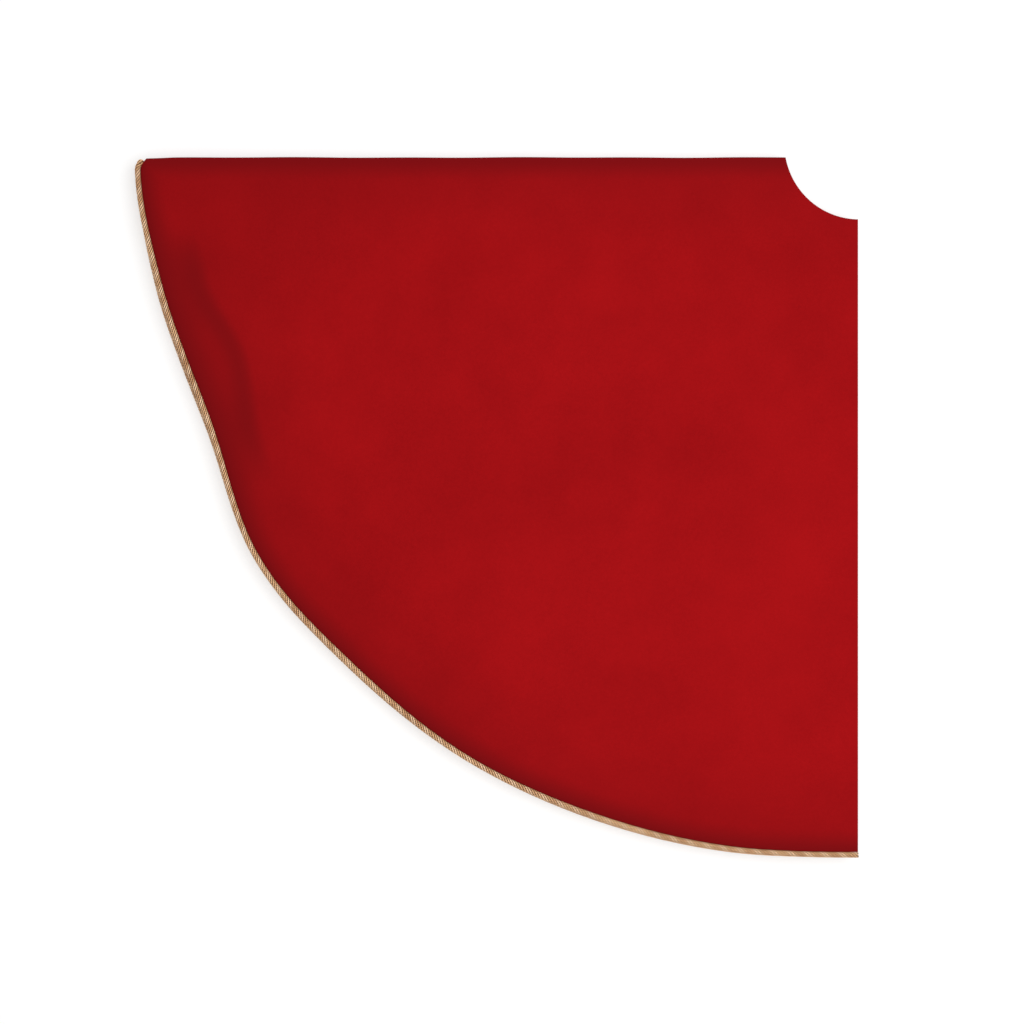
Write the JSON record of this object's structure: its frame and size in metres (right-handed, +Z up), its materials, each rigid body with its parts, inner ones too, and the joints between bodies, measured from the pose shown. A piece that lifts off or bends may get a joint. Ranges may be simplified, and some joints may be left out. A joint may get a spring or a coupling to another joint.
{
  "type": "tree skirt",
  "caption": "Round velvet tree skirt with a twisted gold edge cord, folded in quarters and laid flat, with a slit and a notched neck hole.",
  "frame": {"origin": "under the middle of the folded stack's bounding box, where it rests", "axes": "+Z up, away from what it lies on; +Y towards the creased top edge; +X towards the slit edge, so the neck notch is at +X +Y"},
  "size_m": [0.617, 0.5958, 0.0212],
  "materials": {
    "velvet": "matte",
    "satin": "satin",
    "facing": "satin",
    "wadding": "matte",
    "lip_tape": "matte",
    "gold_cord": "satin",
    "hook_tape": "matte",
    "loop_tape": "matte"
  },
  "bodies": {
    "quarter_4": {"face_panel_4": "velvet", "face_neck_4": "velvet", "padding_4": "wadding", "lining_4": "satin", "neck_facing_4": "facing", "cord_lip_4": "lip_tape", "edge_cord_4": "gold_cord", "slit_facing_4": "facing", "loop_tape_a": "loop_tape", "loop_tape_b": "loop_tape", "loop_tape_c": "loop_tape"},
    "quarter_3": {"face_panel_3": "velvet", "face_neck_3": "velvet", "padding_3": "wadding", "lining_3": "satin", "neck_facing_3": "facing", "cord_lip_3": "lip_tape", "edge_cord_3": "gold_cord"},
    "quarter_2": {"face_panel_2": "velvet", "face_neck_2": "velvet", "padding_2": "wadding", "lining_2": "satin", "neck_facing_2": "facing", "cord_lip_2": "lip_tape", "edge_cord_2": "gold_cord"},
    "quarter_1": {"face_panel_1": "velvet", "face_neck_1": "velvet", "padding_1": "wadding", "lining_1": "satin", "neck_facing_1": "facing", "cord_lip_1": "lip_tape", "edge_cord_1": "gold_cord", "slit_facing_1": "facing", "hook_tape_a": "hook_tape", "hook_tape_b": "hook_tape", "hook_tape_c": "hook_tape"}
  },
  "joints": [
    {"name": "crease_3_4", "type": "hinge", "parent": "quarter_4", "child": "quarter_3", "pos_m": [0, 0.29809, 0.0052], "axis": [-1, 0, 0], "range_deg": [0, 179.9]},
    {"name": "crease_2_3", "type": "hinge", "parent": "quarter_3", "child": "quarter_2", "pos_m": [0.30452, 0, 0.0106], "axis": [0, 1, 0], "range_deg": [0, 179.9]},
    {"name": "crease_1_2", "type": "hinge", "parent": "quarter_2", "child": "quarter_1", "pos_m": [0, 0.29809, 0.016], "axis": [-1, 0, 0], "range_deg": [0, 179.9]}
  ]
}
